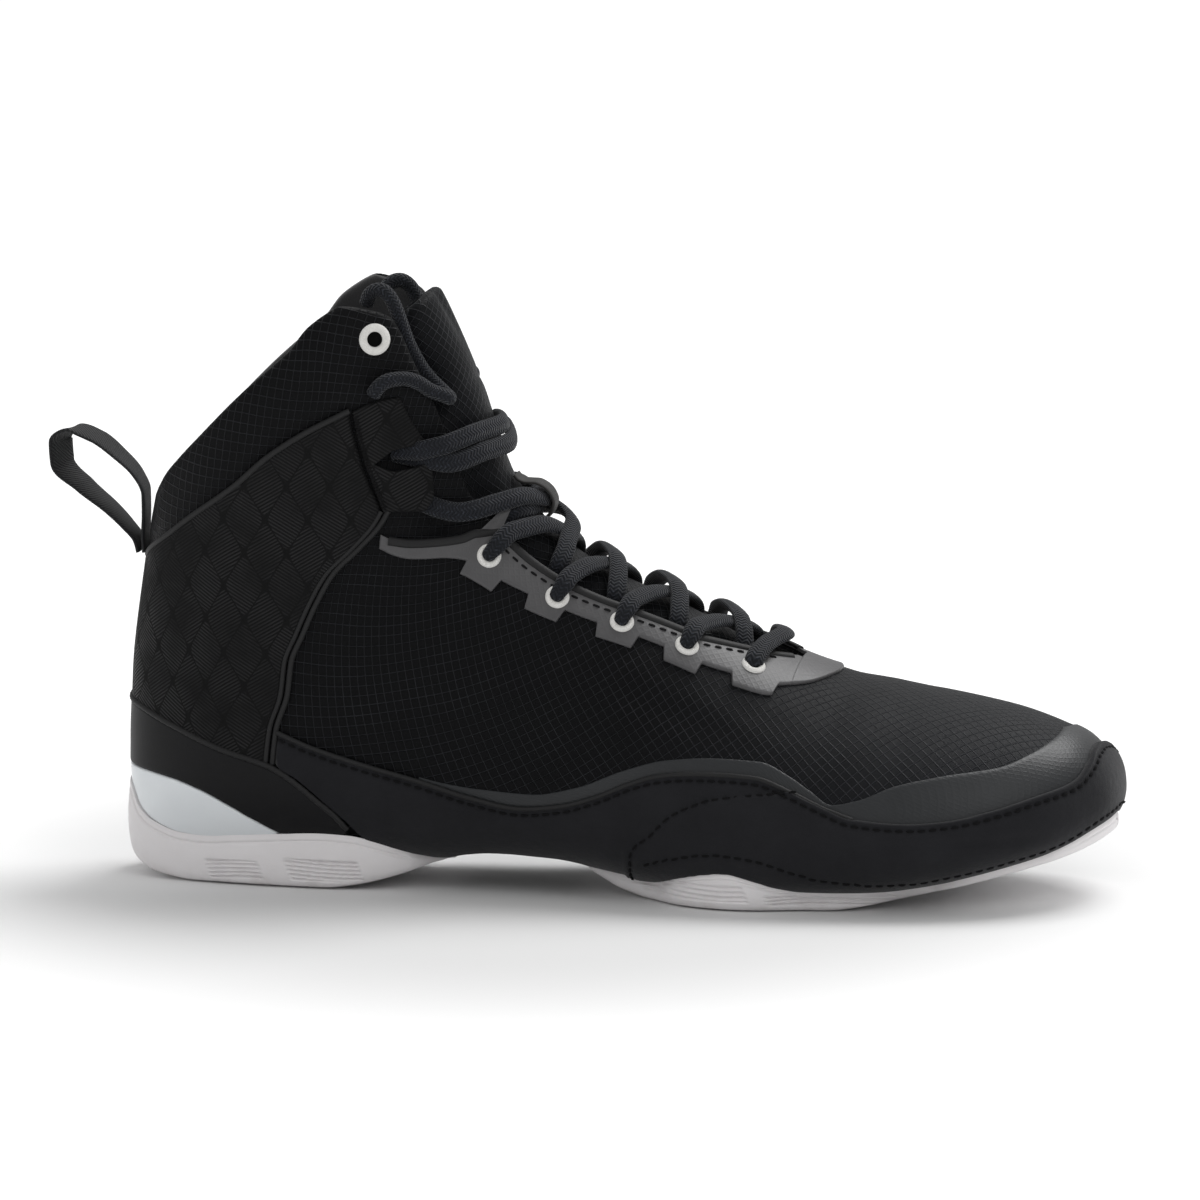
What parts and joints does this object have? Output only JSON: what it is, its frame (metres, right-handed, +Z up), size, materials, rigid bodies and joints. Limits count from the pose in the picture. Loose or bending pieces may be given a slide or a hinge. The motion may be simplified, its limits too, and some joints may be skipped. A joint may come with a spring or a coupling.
{
  "type": "wrestling shoe",
  "caption": "High-top wrestling shoe with a hollow upper, split rubber sole, suede rand, padded collar, tongue, laces and a heel pull loop.",
  "frame": {"origin": "centre of the shoe's box, without the lace's free ends, on the floor under the sole", "axes": "+X towards the toe, +Y towards the foot's inner side, +Z up"},
  "size_m": [0.319, 0.0986, 0.1792],
  "materials": {
    "ripstop": "rip-stop weave with a diamond grid",
    "suede": "short nap, matte",
    "embossed": "matte, tone-on-tone emboss",
    "film": "satin film",
    "counter": "smooth satin",
    "wedge": "smooth",
    "sole": "moulded, faintly pink white",
    "lace": "oval knit cord",
    "webbing": "twill webbing",
    "thread": "satin-stitched thread",
    "lining": "brushed knit"
  },
  "bodies": {
    "root": {"upper": "ripstop", "tongue": "ripstop", "insole": "lining", "outsole_heel": "sole", "outsole_forefoot": "sole", "suede_rand": "suede", "heel_counter": "counter", "heel_wedge": "wedge", "ankle_panel": "embossed", "lace_tab_outer": "embossed", "lace_tab_inner": "embossed", "eyestay": "film", "eyelet_outer_1": "thread", "eyelet_outer_2": "thread", "eyelet_outer_3": "thread", "eyelet_outer_4": "thread", "eyelet_outer_5": "thread", "eyelet_inner_1": "thread", "eyelet_inner_2": "thread", "eyelet_inner_3": "thread", "eyelet_inner_4": "thread", "eyelet_inner_5": "thread", "cuff_eyelet_outer": "thread", "cuff_eyelet_inner": "thread", "lace_crossing_1": "lace", "lace_crossing_2": "lace", "lace_crossing_3": "lace", "lace_crossing_4": "lace", "lace_bar": "lace", "lace_crossing_keeper": "lace", "lace_crossing_ankle": "lace", "lace_end_outer": "lace", "lace_end_inner": "lace", "tongue_keeper": "webbing", "pull_loop": "webbing"}
  },
  "joints": []
}
